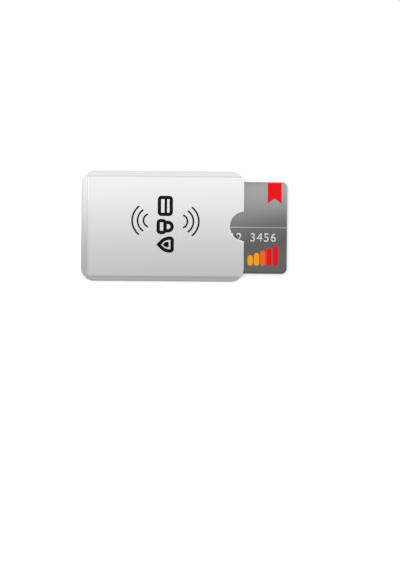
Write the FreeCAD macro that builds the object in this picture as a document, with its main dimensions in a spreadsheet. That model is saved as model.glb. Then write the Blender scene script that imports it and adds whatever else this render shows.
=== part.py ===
"""A foil-lined card sleeve with a payment-size card drawn part way out of it.

The sleeve is two walls of laminate, each an outer film, an aluminium foil and an inner liner. The back
wall is flat and the front wall is formed into a shallow tray, they are bonded along three edges, and both
are die-cut to one outline with a round thumb notch at the mouth. The card is five bonded sheets with a
wound antenna, a contact chip, a magnetic stripe and a signature panel, and it slides in the pocket between
the walls.

Millimetres. The origin is the middle of the sleeve's back face, +X points out of the mouth, +Y runs across
the sleeve and +Z points out of its front face.
"""

import FreeCAD
import Part
import Sketcher
import math
import os
import re

SIZES = {
    # The card, a standard bank card
    "card_length": 85.6,
    "card_width": 53.98,
    "card_corner_radius": 3.18,
    "overlay_thickness": 0.05,
    "sheet_thickness": 0.15,
    "inlay_thickness": 0.36,
    # The laminate of each sleeve wall, and the bond between the walls
    "film_thickness": 0.06,
    "foil_thickness": 0.03,
    "liner_thickness": 0.15,
    "seal_width": 2.4,
    "seal_thickness": 0.08,
    # The formed pocket: its sloping shoulder, and the room round the card inside it
    "shoulder_run": 1.2,
    "gap_under_card": 0.08,
    "gap_over_card": 0.28,
    "card_side_room": 1.91,
    "card_end_room": 0.2,
    "mouth_overhang": 6.6,
    # The die-cut outline
    "closed_corner_radius": 7.4,
    "mouth_corner_radius": 7.5,
    "notch_width": 17.4,
    "notch_depth": 8.2,
    # Where the drawn card stands: how far out of the mouth, and how far below the middle of the pocket
    "card_exposed": 25.4,
    "card_drop": 0.6,
    # The antenna track, wound round the card's inlay
    "coil_turns": 4,
    "coil_margin": 3.2,
    "coil_inner_radius": 2.2,
    "coil_jog_run": 4.0,
    "track_width": 0.5,
    "track_gap": 0.6,
    "track_thickness": 0.05,
    # The chip module
    "chip_from_end": 15.06,
    "chip_from_top": 23.89,
    "contact_length": 13.0,
    "contact_width": 11.8,
    "contact_corner_radius": 1.6,
    "contact_thickness": 0.03,
    "contact_pitch": 2.54,
    "centre_pad_width": 3.8,
    "channel_width": 0.25,
    "adhesive_thickness": 0.05,
    "resin_length": 7.0,
    "resin_width": 6.4,
    "resin_corner_radius": 1.2,
    "resin_floor": 0.1,
    "die_length": 2.8,
    "die_width": 2.4,
    "die_thickness": 0.12,
    # The back of the card
    "stripe_from_top": 4.0,
    "stripe_width": 12.7,
    "stripe_thickness": 0.02,
    "signature_from_stripe": 4.6,
    "signature_width": 9.6,
    "signature_end_margin": 6.0,
    "signature_far_margin": 14.0,
    "signature_corner_radius": 0.8,
    "signature_thickness": 0.02,
    # Clearance of what is let into the card's sheets, and how far a cut runs past what it cuts
    "fit_clearance": 0.03,
    "cut_overrun": 2.0,
}

LEVELS = {
    # The sleeve's walls, outline and pocket
    "wall": "film_thickness + foil_thickness + liner_thickness",
    "card_thickness": "2 * overlay_thickness + 2 * sheet_thickness + inlay_thickness",
    "pocket_inset": "seal_width + shoulder_run",
    "sleeve_length": "pocket_inset + card_end_room + card_length + mouth_overhang",
    "sleeve_width": "card_width + 2 * (card_side_room + pocket_inset)",
    "notch_radius": "(notch_width * notch_width / 4 + notch_depth * notch_depth) / (2 * notch_depth)",
    "seal_top": "wall + seal_thickness",
    "pocket_rise": "gap_under_card + card_thickness + gap_over_card - seal_thickness",
    # The card's place, and the levels of its sheets from its back face up
    "card_x": "sleeve_length / 2 + card_exposed - card_length / 2",
    "card_floor": "wall + gap_under_card",
    "back_sheet_level": "card_floor + overlay_thickness",
    "inlay_level": "back_sheet_level + sheet_thickness",
    "front_sheet_level": "inlay_level + inlay_thickness",
    "front_overlay_level": "front_sheet_level + sheet_thickness",
    "card_top": "front_overlay_level + overlay_thickness",
    # The chip module, from the middle of the card, and its layers down from the card's face
    "chip_x": "chip_from_end - card_length / 2",
    "chip_y": "card_width / 2 - chip_from_top",
    "carrier_thickness": "overlay_thickness + sheet_thickness - contact_thickness - adhesive_thickness",
    "resin_height": "adhesive_thickness + inlay_thickness - resin_floor - fit_clearance",
    # The back of the card, from the middle of the card
    "stripe_y": "card_width / 2 - stripe_from_top - stripe_width / 2",
    "signature_length": "card_length - signature_end_margin - signature_far_margin",
    "signature_x": "(signature_end_margin - signature_far_margin) / 2",
    "signature_y": "stripe_y - stripe_width / 2 - signature_from_stripe - signature_width / 2",
}

# A sketch's own origin and horizontal axis, and the ends and centre of its lines and arcs, by number
ROOT = -1
START, END, CENTRE = 1, 2, 3

document = FreeCAD.newDocument("card_sleeve")
sizes = document.addObject("Spreadsheet::Sheet", "sizes")
levels = document.addObject("Spreadsheet::Sheet", "levels")
answers = document.addObject("Spreadsheet::Sheet", "answers")


def named(formula):
    """A formula in the sheets' names, with each name led back to the sheet that holds it."""

    def owner(match):
        name = match.group(0)
        if name in SIZES:
            return f"sizes.{name}"
        if name in LEVELS:
            return f"levels.{name}"
        raise KeyError(f"no sheet holds {name}")

    return re.sub(r"[a-z_]+", owner, formula)


def value(formula):
    """What a formula comes to now, worked out in a cell that nothing else reads."""
    answers.set("A1", "=" + named(formula))
    answers.recompute()
    return float(answers.get("A1"))


def bind(item, name, formula):
    """Ties a property, or part of one, to a formula in the sheets' names."""
    item.setExpression(name, named(formula))


def fill_sheets():
    """Writes the driving sizes as plain numbers, and the levels that follow from them as formulas."""
    for row, (name, size) in enumerate(SIZES.items(), start=1):
        sizes.set(f"A{row}", name)
        sizes.set(f"B{row}", str(size))
        sizes.setAlias(f"B{row}", name)
    for row, (name, formula) in enumerate(LEVELS.items(), start=1):
        levels.set(f"A{row}", name)
        levels.setAlias(f"B{row}", name)
        levels.set(f"B{row}", "=" + named(formula).replace("levels.", ""))
    document.recompute()


# Sketches


def add_sketch(body, name, x=None, y=None):
    """A sketch on the body's own XY plane, moved along X and Y by formulas."""
    sketch = body.newObject("Sketcher::SketchObject", name)
    plane = next(item for item in body.Origin.OriginFeatures if item.Role == "XY_Plane")
    sketch.AttachmentSupport = [(plane, "")]
    sketch.MapMode = "FlatFace"
    for axis, formula in (("x", x), ("y", y)):
        if formula:
            bind(sketch, f"AttachmentOffset.Base.{axis}", formula)
    return sketch


def pin(sketch, piece, point, axis, formula):
    """Holds a point of a sketch piece at a signed distance from the sketch's origin, along X or Y."""
    ends = (ROOT, START, piece, point)
    if value(formula) < 0:
        ends = (piece, point, ROOT, START)
        formula = f"-({formula})"
    index = sketch.addConstraint(Sketcher.Constraint(f"Distance{axis}", *ends, value(formula)))
    bind(sketch, f"Constraints[{index}]", formula)


def set_radius(sketch, arc, formula):
    index = sketch.addConstraint(Sketcher.Constraint("Radius", arc, value(formula)))
    bind(sketch, f"Constraints[{index}]", formula)


def add_arc(sketch, x, y, radius, start, end):
    circle = Part.Circle(FreeCAD.Vector(x, y), FreeCAD.Vector(0, 0, 1), radius)
    return sketch.addGeometry(Part.ArcOfCircle(circle, math.radians(start), math.radians(end)))


def add_line(sketch, *ends):
    return sketch.addGeometry(Part.LineSegment(*(FreeCAD.Vector(x, y) for x, y in ends)))


def draw_rectangle(sketch, west, east, south, north):
    """A sharp rectangle, held by a formula for each side."""
    w, e, s, n = (value(side) for side in (west, east, south, north))
    corners = [(e, s), (e, n), (w, n), (w, s)]
    lines = [add_line(sketch, corners[i], corners[(i + 1) % 4]) for i in range(4)]
    for i, line in enumerate(lines):
        sketch.addConstraint(Sketcher.Constraint("Coincident", line, END, lines[(i + 1) % 4], START))
        sketch.addConstraint(Sketcher.Constraint(("Vertical", "Horizontal")[i % 2], line))
    for line, axis, side in zip(lines, "XYXY", (east, north, west, south)):
        pin(sketch, line, START, axis, side)


def draw_rounded(sketch, length, width, west_radius, east_radius, notch=False):
    """A round-cornered rectangle about the sketch's origin, whose east side may have the thumb notch."""
    half_length = f"({length}) / 2"
    half_width = f"({width}) / 2"
    x, y = value(half_length), value(half_width)
    west_turn, east_turn = value(west_radius), value(east_radius)
    south_east = add_arc(sketch, x - east_turn, east_turn - y, east_turn, 270, 360)
    mouth = value("notch_width") / 2 if notch else y - east_turn
    upper = add_line(sketch, (x, mouth if notch else -mouth), (x, y - east_turn))
    north_east = add_arc(sketch, x - east_turn, y - east_turn, east_turn, 0, 90)
    north = add_line(sketch, (x - east_turn, y), (west_turn - x, y))
    north_west = add_arc(sketch, west_turn - x, y - west_turn, west_turn, 90, 180)
    west = add_line(sketch, (-x, y - west_turn), (-x, west_turn - y))
    south_west = add_arc(sketch, west_turn - x, west_turn - y, west_turn, 180, 270)
    south = add_line(sketch, (west_turn - x, -y), (x - east_turn, -y))
    chain = [upper, north_east, north, north_west, west, south_west, south, south_east]
    if notch:
        lower = add_line(sketch, (x, east_turn - y), (x, -mouth))
        chain.append(lower)
        cut_notch(sketch, upper, lower, half_length)
    else:
        chain.append(upper)
    for before, after in zip(chain, chain[1:]):
        sketch.addConstraint(Sketcher.Constraint("Tangent", before, END, after, START))
    for line in (upper, lower, west) if notch else (upper, west):
        sketch.addConstraint(Sketcher.Constraint("Vertical", line))
        pin(sketch, line, START, "X", f"-{half_length}" if line == west else half_length)
    for line, side in ((north, half_width), (south, f"-{half_width}")):
        sketch.addConstraint(Sketcher.Constraint("Horizontal", line))
        pin(sketch, line, START, "Y", side)
    for arc, radius in zip((north_east, south_east, north_west, south_west),
                           (east_radius, east_radius, west_radius, west_radius)):
        set_radius(sketch, arc, radius)


def cut_notch(sketch, upper, lower, mouth_x):
    """The round bite of the thumb notch, from the lower mouth line to the upper one."""
    centre_x = f"{mouth_x} - notch_depth + notch_radius"
    spread = math.degrees(math.atan2(value("notch_width") / 2, value("notch_radius - notch_depth")))
    bite = add_arc(sketch, value(centre_x), 0, value("notch_radius"), 180 - spread, 180 + spread)
    sketch.addConstraint(Sketcher.Constraint("Coincident", bite, START, upper, START))
    sketch.addConstraint(Sketcher.Constraint("Coincident", bite, END, lower, END))
    sketch.addConstraint(Sketcher.Constraint("PointOnObject", bite, CENTRE, ROOT))
    pin(sketch, bite, CENTRE, "X", centre_x)
    set_radius(sketch, bite, "notch_radius")


def draw_die_cut(sketch):
    """The outline that both walls and their bond are cut to."""
    draw_rounded(sketch, "sleeve_length", "sleeve_width", "closed_corner_radius", "mouth_corner_radius",
                 notch=True)


# Features


def add_body(name, x=None, y=None, z=None):
    """A named body, placed by formulas."""
    body = document.addObject("PartDesign::Body", name)
    body.Label = name
    for axis, formula in (("x", x), ("y", y), ("z", z)):
        if formula:
            bind(body, f"Placement.Base.{axis}", formula)
    return body


def pad(body, sketch, height):
    feature = body.newObject("PartDesign::Pad", f"{body.Name}_pad")
    feature.Profile = sketch
    bind(feature, "Length", height)
    sketch.Visibility = False
    document.recompute()
    return feature


def pocket(body, sketch, depth=None):
    """Cuts a sketch upwards into its body, to a depth or right through, and makes sure that it did cut."""
    before = body.Shape.Volume
    feature = body.newObject("PartDesign::Pocket", f"{body.Name}_pocket")
    feature.Profile = sketch
    feature.Reversed = True
    if depth:
        bind(feature, "Length", depth)
    else:
        feature.Type = "ThroughAll"
    document.recompute()
    if body.Shape.Volume >= before:
        raise RuntimeError(f"{feature.Name} cuts nothing")
    return feature


def wedge(body, kind, low, high):
    """The pocket's form between two heights: a wedge with three sloping sides, open past the mouth."""
    feature = body.newObject(f"PartDesign::{kind}Wedge", f"{body.Name}_{kind.lower()}")
    feature.Placement = FreeCAD.Placement(FreeCAD.Vector(), FreeCAD.Rotation(FreeCAD.Vector(1, 0, 0), 90))
    closed_end = "seal_width - sleeve_length / 2"
    past_mouth = "sleeve_length / 2 + cut_overrun"
    half_width = "sleeve_width / 2 - seal_width"
    for name, formula in {
        "Ymin": low, "Ymax": high,
        "Xmin": closed_end, "X2min": f"{closed_end} + shoulder_run", "Xmax": past_mouth, "X2max": past_mouth,
        "Zmin": f"-({half_width})", "Z2min": f"shoulder_run - ({half_width})",
        "Zmax": half_width, "Z2max": f"{half_width} - shoulder_run",
    }.items():
        bind(feature, name, formula)
    document.recompute()


def trim_to_die_cut(body):
    """Cuts away all of a body that lies outside the sleeve's outline."""
    sketch = add_sketch(body, f"{body.Name}_trim")
    half_length = "sleeve_length / 2 + 2 * cut_overrun"
    half_width = "sleeve_width / 2 + 2 * cut_overrun"
    draw_rectangle(sketch, f"-({half_length})", half_length, f"-({half_width})", half_width)
    draw_die_cut(sketch)
    pocket(body, sketch)


# The sleeve


def flat_layer(name, level, thickness):
    """One layer of the back wall."""
    body = add_body(name, z=level)
    sketch = add_sketch(body, f"{name}_outline")
    draw_die_cut(sketch)
    pad(body, sketch, thickness)
    return body


def formed_layer(name, level, thickness):
    """One layer of the front wall: flat along the bonded edges, and raised over the pocket."""
    body = add_body(name, z=level)
    sketch = add_sketch(body, f"{name}_blank")
    draw_rectangle(sketch, "-sleeve_length / 2", "sleeve_length / 2", "-sleeve_width / 2", "sleeve_width / 2")
    pad(body, sketch, thickness)
    wedge(body, "Additive", thickness, f"pocket_rise + {thickness}")
    wedge(body, "Subtractive", "0", "pocket_rise")
    trim_to_die_cut(body)
    return body


def edge_seal(name, west, east, south, north):
    """One strip of the bond between the walls, trimmed with them."""
    body = add_body(name, z="wall")
    sketch = add_sketch(body, f"{name}_strip")
    draw_rectangle(sketch, west, east, south, north)
    pad(body, sketch, "seal_thickness")
    trim_to_die_cut(body)
    return body


def make_sleeve():
    half_length = "sleeve_length / 2"
    half_width = "sleeve_width / 2"
    inner_width = "sleeve_width / 2 - seal_width"
    return [
        flat_layer("back_film", None, "film_thickness"),
        flat_layer("back_foil", "film_thickness", "foil_thickness"),
        flat_layer("back_liner", "film_thickness + foil_thickness", "liner_thickness"),
        edge_seal("upper_edge_seal", f"-{half_length}", half_length, inner_width, half_width),
        edge_seal("lower_edge_seal", f"-{half_length}", half_length, f"-{half_width}", f"-({inner_width})"),
        edge_seal("closed_end_seal", f"-{half_length}", f"seal_width - {half_length}",
                  f"-({inner_width})", inner_width),
        formed_layer("front_liner", "seal_top", "liner_thickness"),
        formed_layer("front_foil", "seal_top + liner_thickness", "foil_thickness"),
        formed_layer("front_film", "seal_top + liner_thickness + foil_thickness", "film_thickness"),
    ]


# The card


def card_layer(name, level, thickness):
    """One full-size sheet of the card."""
    body = add_body(name, "card_x", "-card_drop", level)
    sketch = add_sketch(body, f"{name}_outline")
    draw_rounded(sketch, "card_length", "card_width", "card_corner_radius", "card_corner_radius")
    pad(body, sketch, thickness)
    return body


def cut_chip_window(body):
    """The opening that the chip's contact plate is let into."""
    sketch = add_sketch(body, f"{body.Name}_window", "chip_x", "chip_y")
    draw_rounded(sketch, "contact_length + 2 * fit_clearance", "contact_width + 2 * fit_clearance",
                 "contact_corner_radius", "contact_corner_radius")
    pocket(body, sketch)


def cut_from_back(body, name, x, y, length, width, depth, radius=None):
    """A shallow recess in the card's back face, as deep as what is printed or laid in it."""
    sketch = add_sketch(body, f"{body.Name}_{name}", x, y)
    if radius:
        draw_rounded(sketch, length, width, radius, radius)
    else:
        draw_rectangle(sketch, f"-({length}) / 2", f"({length}) / 2", f"-({width}) / 2", f"({width}) / 2")
    pocket(body, sketch, depth)


def make_card_sheets():
    front_overlay = card_layer("card_front_overlay", "front_overlay_level", "overlay_thickness")
    front_sheet = card_layer("card_front_sheet", "front_sheet_level", "sheet_thickness")
    for body in (front_overlay, front_sheet):
        cut_chip_window(body)
    back_sheet = card_layer("card_back_sheet", "back_sheet_level", "sheet_thickness")
    back_overlay = card_layer("card_back_overlay", "card_floor", "overlay_thickness")
    cut_from_back(back_overlay, "stripe", None, "stripe_y", "card_length + 2 * cut_overrun", "stripe_width",
                  "stripe_thickness")
    cut_from_back(back_overlay, "signature", "signature_x", "signature_y", "signature_length",
                  "signature_width", "signature_thickness", "signature_corner_radius")
    return [front_overlay, front_sheet, back_sheet, back_overlay]


def make_card_back_marks():
    """The magnetic stripe and the signature panel, flush with the card's back face."""
    stripe = add_body("magnetic_stripe", "card_x", "stripe_y - card_drop", "card_floor")
    sketch = add_sketch(stripe, "magnetic_stripe_outline")
    draw_rectangle(sketch, "-card_length / 2", "card_length / 2", "-stripe_width / 2", "stripe_width / 2")
    pad(stripe, sketch, "stripe_thickness")
    panel = add_body("signature_panel", "card_x + signature_x", "signature_y - card_drop", "card_floor")
    sketch = add_sketch(panel, "signature_panel_outline")
    draw_rounded(sketch, "signature_length", "signature_width", "signature_corner_radius",
                 "signature_corner_radius")
    pad(panel, sketch, "signature_thickness")
    return [stripe, panel]


# The antenna and the inlay that carries it


def track_side(offset, overrun):
    """The edges of one side of the antenna's track, offset from its centre line, from its outer end inwards.

    Each turn is a rounded rectangle one pitch inside the last. It starts and ends on the south side, where a
    slanting jog leads to the next turn.
    """
    turns = int(value("coil_turns"))
    pitch = value("track_width + track_gap")
    jog_end = value("coil_jog_run") / 2
    edges = []
    here = None
    for turn in range(turns):
        inset = value("coil_margin") + turn * pitch - offset
        x = value("card_length") / 2 - inset
        y = value("card_width") / 2 - inset
        radius = value("coil_inner_radius") + (turns - 1 - turn) * pitch + offset
        start = FreeCAD.Vector(jog_end - (overrun if turn == 0 else 0), -y)
        if here:
            edges.append(Part.LineSegment(here, start).toShape())
        here = start
        for quarter, (side_x, side_y) in enumerate(((1, -1), (1, 1), (-1, 1), (-1, -1)), start=-1):
            centre = FreeCAD.Vector(side_x * (x - radius), side_y * (y - radius))
            turned = [math.radians(90 * quarter + step) for step in (0, 45, 90)]
            bend = [centre + FreeCAD.Vector(math.cos(a), math.sin(a)) * radius for a in turned]
            edges.append(Part.LineSegment(here, bend[0]).toShape())
            edges.append(Part.Arc(*bend).toShape())
            here = bend[2]
        finish = FreeCAD.Vector((overrun if turn == turns - 1 else 0) - jog_end, -y)
        edges.append(Part.LineSegment(here, finish).toShape())
        here = finish
    return edges


def track_solid(width, overrun=0):
    """The flat antenna track as one unbroken strip of a given width, lying on the XY plane."""
    outer = track_side(width / 2, overrun)
    inner = track_side(-width / 2, overrun)
    ends = [
        Part.LineSegment(outer[i].Vertexes[i].Point, inner[i].Vertexes[i].Point).toShape() for i in (0, -1)
    ]
    strip = Part.Wire([*outer, ends[1], *reversed(inner), ends[0]])
    return Part.Face(strip).extrude(FreeCAD.Vector(0, 0, value("track_thickness")))


def print_least_track_gap():
    """Measures how near the track comes to itself, between points more than half a turn apart along it."""
    centre_line = Part.Wire(track_side(0, 0))
    step = value("track_width") * 2
    points = centre_line.discretize(Distance=step)
    apart = int(value("card_length / 2 + card_width / 2") / step)
    nearest = min(
        point.distanceToPoint(other) for i, point in enumerate(points) for other in points[i + apart:]
    )
    print(f"antenna track: {centre_line.Length:.0f} mm long, least gap to itself "
          f"{nearest - value('track_width'):.2f} mm")


def let_into_inlay(name, width, overrun=0):
    """A track solid set flush with the inlay's upper face."""
    feature = document.addObject("Part::Feature", name)
    feature.Label = name
    feature.Shape = track_solid(width, overrun)
    for axis, formula in (("x", "card_x"), ("y", "-card_drop"), ("z", "front_sheet_level - track_thickness")):
        bind(feature, f"Placement.Base.{axis}", formula)
    return feature


def make_antenna():
    """The antenna coil, and the inlay with a groove for it and a pocket for the chip's resin."""
    coil = let_into_inlay("antenna_coil", value("track_width"))
    clearance = value("fit_clearance")
    groove = let_into_inlay("track_groove", value("track_width") + 2 * clearance, clearance)
    blank = card_layer("card_inlay_blank", "inlay_level", "inlay_thickness")
    sketch = add_sketch(blank, "resin_pocket_outline", "chip_x", "chip_y")
    bind(sketch, "AttachmentOffset.Base.z", "resin_floor")
    draw_rounded(sketch, "resin_length + 2 * fit_clearance", "resin_width + 2 * fit_clearance",
                 "resin_corner_radius", "resin_corner_radius")
    pocket(blank, sketch)
    inlay = document.addObject("Part::Cut", "card_inlay")
    inlay.Label = "card_inlay"
    inlay.Base = blank
    inlay.Tool = groove
    document.recompute()
    print_least_track_gap()
    return [coil, inlay]


# The chip module


def chip_body(name, level):
    return add_body(name, "card_x + chip_x", "chip_y - card_drop", level)


def make_contacts():
    """The gilt contact plate, parted by channels into four pads on each side of a middle pad."""
    body = chip_body("chip_contacts", "card_top - contact_thickness")
    sketch = add_sketch(body, "contact_plate_outline")
    draw_rounded(sketch, "contact_length", "contact_width", "contact_corner_radius", "contact_corner_radius")
    pad(body, sketch, "contact_thickness")
    inner, outer = "centre_pad_width / 2", "centre_pad_width / 2 + channel_width"
    past_plate = "contact_width / 2 + cut_overrun"
    columns = add_sketch(body, "column_channels")
    draw_rectangle(columns, inner, outer, f"-({past_plate})", past_plate)
    draw_rectangle(columns, f"-({outer})", f"-{inner}", f"-({past_plate})", past_plate)
    pocket(body, columns)
    past_end = "contact_length / 2 + cut_overrun"
    half_channel = "channel_width / 2"
    rows = add_sketch(body, "row_channels", y="-contact_pitch")
    draw_rectangle(rows, outer, past_end, f"-{half_channel}", half_channel)
    draw_rectangle(rows, f"-({past_end})", f"-({outer})", f"-{half_channel}", half_channel)
    channel = pocket(body, rows)
    pattern = body.newObject("PartDesign::LinearPattern", "row_channel_pattern")
    pattern.Originals = [channel]
    pattern.Direction = (rows, ["V_Axis"])
    bind(pattern, "Length", "2 * contact_pitch")
    pattern.Occurrences = 3
    body.Tip = pattern
    document.recompute()
    return body


def make_carrier():
    """The glass-epoxy tape under the contacts."""
    body = chip_body("chip_carrier", "card_top - contact_thickness - carrier_thickness")
    sketch = add_sketch(body, "carrier_outline")
    draw_rounded(sketch, "contact_length", "contact_width", "contact_corner_radius", "contact_corner_radius")
    pad(body, sketch, "carrier_thickness")
    return body


def make_adhesive():
    """The ring of hot-melt tape that holds the carrier to the inlay, round the resin."""
    body = chip_body("chip_adhesive", "front_sheet_level")
    sketch = add_sketch(body, "adhesive_outline")
    draw_rounded(sketch, "contact_length", "contact_width", "contact_corner_radius", "contact_corner_radius")
    draw_rounded(sketch, "resin_length + 2 * fit_clearance", "resin_width + 2 * fit_clearance",
                 "resin_corner_radius", "resin_corner_radius")
    pad(body, sketch, "adhesive_thickness")
    return body


def make_resin_and_die():
    """The chip under the carrier, and the block of resin cast round it."""
    resin = chip_body("chip_resin", "front_sheet_level + adhesive_thickness - resin_height")
    sketch = add_sketch(resin, "resin_outline")
    draw_rounded(sketch, "resin_length", "resin_width", "resin_corner_radius", "resin_corner_radius")
    pad(resin, sketch, "resin_height")
    seat = add_sketch(resin, "die_seat")
    bind(seat, "AttachmentOffset.Base.z", "resin_height - die_thickness")
    die = chip_body("chip_die", "front_sheet_level + adhesive_thickness - die_thickness")
    outline = add_sketch(die, "die_outline")
    for square in (seat, outline):
        draw_rectangle(square, "-die_length / 2", "die_length / 2", "-die_width / 2", "die_width / 2")
    pocket(resin, seat)
    pad(die, outline, "die_thickness")
    return [resin, die]


# Building and writing


def check(pieces):
    """Stops if any object failed, a sketch is loose, or a piece isn't whole."""
    for item in document.Objects:
        if {"Invalid", "Error"} & set(item.State):
            raise RuntimeError(f"{item.Name} failed: {item.State}")
        if item.TypeId == "Sketcher::SketchObject" and not item.FullyConstrained:
            raise RuntimeError(f"sketch {item.Name} isn't fully constrained")
    for piece in pieces:
        if piece.Shape.isNull() or not piece.Shape.isValid() or not piece.Shape.Solids:
            raise RuntimeError(f"{piece.Label} has no valid solid")


def write(pieces):
    os.makedirs("parts", exist_ok=True)
    for piece in pieces:
        piece.Shape.exportStep(os.path.join("parts", f"{piece.Label}.step"))
        print(f"{piece.Label}: {len(piece.Shape.Solids)} solids, {piece.Shape.Volume:.2f} mm3")


fill_sheets()
pieces = [
    *make_sleeve(),
    *make_card_sheets(),
    *make_card_back_marks(),
    *make_antenna(),
    make_contacts(),
    make_carrier(),
    make_adhesive(),
    *make_resin_and_die(),
]
document.recompute()
check(pieces)
write(pieces)
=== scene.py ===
"""Dresses the packed card sleeve: its pressed walls, the sliding card, the print and the stage."""

import bmesh
import bpy
import functools
import math
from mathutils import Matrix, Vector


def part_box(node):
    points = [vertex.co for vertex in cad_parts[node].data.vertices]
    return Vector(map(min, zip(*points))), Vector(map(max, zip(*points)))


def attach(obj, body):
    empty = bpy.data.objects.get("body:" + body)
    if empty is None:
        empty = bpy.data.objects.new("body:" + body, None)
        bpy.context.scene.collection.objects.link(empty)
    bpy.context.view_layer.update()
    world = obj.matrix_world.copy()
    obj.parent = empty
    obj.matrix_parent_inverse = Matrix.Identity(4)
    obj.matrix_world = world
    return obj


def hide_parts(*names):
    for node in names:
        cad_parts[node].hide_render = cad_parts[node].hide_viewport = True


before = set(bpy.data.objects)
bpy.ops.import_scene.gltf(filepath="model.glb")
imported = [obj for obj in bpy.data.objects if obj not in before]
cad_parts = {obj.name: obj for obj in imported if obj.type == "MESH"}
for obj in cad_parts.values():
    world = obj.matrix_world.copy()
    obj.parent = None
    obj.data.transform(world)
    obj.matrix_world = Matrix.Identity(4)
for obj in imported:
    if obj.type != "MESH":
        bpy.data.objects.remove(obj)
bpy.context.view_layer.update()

bl_info = {
    "name": "Card sleeve",
    "version": (1, 0, 0),
    "blender": (4, 5, 0),
    "location": "3D View > Sidebar > Card sleeve",
    "description": "Models a foil-lined card sleeve and the bank card that slides in it",
    "category": "Object",
}

MM = 0.001

# Places this close count as one, and points this close are welded
NEAR = 0.001 * MM
WELD = 0.0001 * MM

# Places read from the packed model, in metres
WALL_LOW, WALL_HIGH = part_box("front_film")
CARD_LOW, CARD_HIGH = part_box("card_front_overlay")
CHIP_LOW, CHIP_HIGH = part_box("chip_contacts")
SLEEVE_LENGTH = WALL_HIGH.x - WALL_LOW.x
SLEEVE_WIDTH = WALL_HIGH.y - WALL_LOW.y
CLOSED_END = WALL_LOW.x
MOUTH = WALL_HIGH.x
HALF_WIDTH = SLEEVE_WIDTH / 2
PANEL_TOP = WALL_HIGH.z
CARD_LENGTH = CARD_HIGH.x - CARD_LOW.x
CARD_WIDTH = CARD_HIGH.y - CARD_LOW.y
CARD_MIDDLE = (CARD_LOW + CARD_HIGH) / 2
CARD_TOP = CARD_HIGH.z

# A wall's layers from the outside in: each one's slot and thickness, and how far the pocket lifts them
SLOTS = {"film": "silver_film", "foil": "aluminium_foil", "liner": "paper_liner"}
THICKNESS = {layer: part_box("back_" + layer)[1].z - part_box("back_" + layer)[0].z for layer in SLOTS}
POCKET_RISE = WALL_HIGH.z - WALL_LOW.z - THICKNESS["film"]


def linear(code):
    """An sRGB hex colour as linear red, green, blue and alpha."""
    parts = [int(code[start:start + 2], 16) / 255 for start in (1, 3, 5)]
    return [part / 12.92 if part <= 0.04045 else ((part + 0.055) / 1.055) ** 2.4 for part in parts] + [1.0]


def amount(name, value, description, **kind):
    """A number that a user would change."""
    return bpy.props.FloatProperty(name=name, description=description, default=value, **kind)


def length(name, millimetres, description):
    """A size that a user would change, given here in millimetres."""
    return amount(name, millimetres * MM, description, min=0, precision=5, unit="LENGTH")


def colour(name, code, description):
    """A colour that a user would change, given here as sRGB hex."""
    return bpy.props.FloatVectorProperty(name=name, description=description, default=linear(code), size=4,
                                         min=0, max=1, subtype="COLOR")


class SleeveWalls(bpy.types.PropertyGroup):
    """Sizes of the two walls"""

    closed_corner: length("Closed corner radius", 7.4, "Radius of the two corners at the closed end")
    mouth_corner: length("Mouth corner radius", 7.5, "Radius of the two corners at the mouth")
    notch_width: length("Notch width", 17.4, "Width of the thumb notch at the mouth")
    notch_depth: length("Notch depth", 8.2, "Depth of the thumb notch from the mouth")
    upper_seal: length("Upper seal", 2.4, "Width of the flat band along the upper edge")
    lower_seal: length("Lower seal", 1.75, "Width of the flat band along the lower edge")
    end_seal: length("End seal", 2.45, "Width of the flat band along the closed end")
    shoulder_run: length("Shoulder run", 1.7, "How far in from the seal the wall takes to reach the panel")
    rim_width: length("Rim width", 0.45, "Width of the die-cut edge that the cut has rolled over")
    rim_drop: length("Rim drop", 0.04, "How far the rolled edge falls")
    crease_press: length("Crease press", 0.05, "Depth of the side creases where they cross the end's seal")
    back_press: length("Back press", 0.05, "Depth of the seal's line in the back wall")


class SleevePrint(bpy.types.PropertyGroup):
    """Sizes of the print on the front wall"""

    ink: length("Ink thickness", 0.02, "Thickness of the screen-printed ink")
    wave_stroke: length("Wave stroke", 1.0, "Width of a wave arc's line")
    wave_left: length("Left waves", 8.82, "From the row of pictograms to the middle of the left arcs")
    wave_right: length("Right waves", 9.14, "From the row of pictograms to the middle of the right arcs")
    wave_y: length("Wave y", 2.8, "Place of the right arcs across the sleeve")
    wave_lift: length("Wave lift", 0.45, "How far the left arcs stand above the right ones")
    icon_stroke: length("Icon stroke", 2.0, "Width of a pictogram's line")
    icon_inline: length("Icon inline", 0.12, "Width of the grey line inside a pictogram's line")
    icon_corner: length("Icon corner", 2.3, "Radius of the corners of the card and the padlock")
    row_x: length("Icon row x", 1.5, "Place of the row of pictograms along the sleeve")
    row_y: length("Icon row y", 1.3, "Place of the row's middle across the sleeve")


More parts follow.
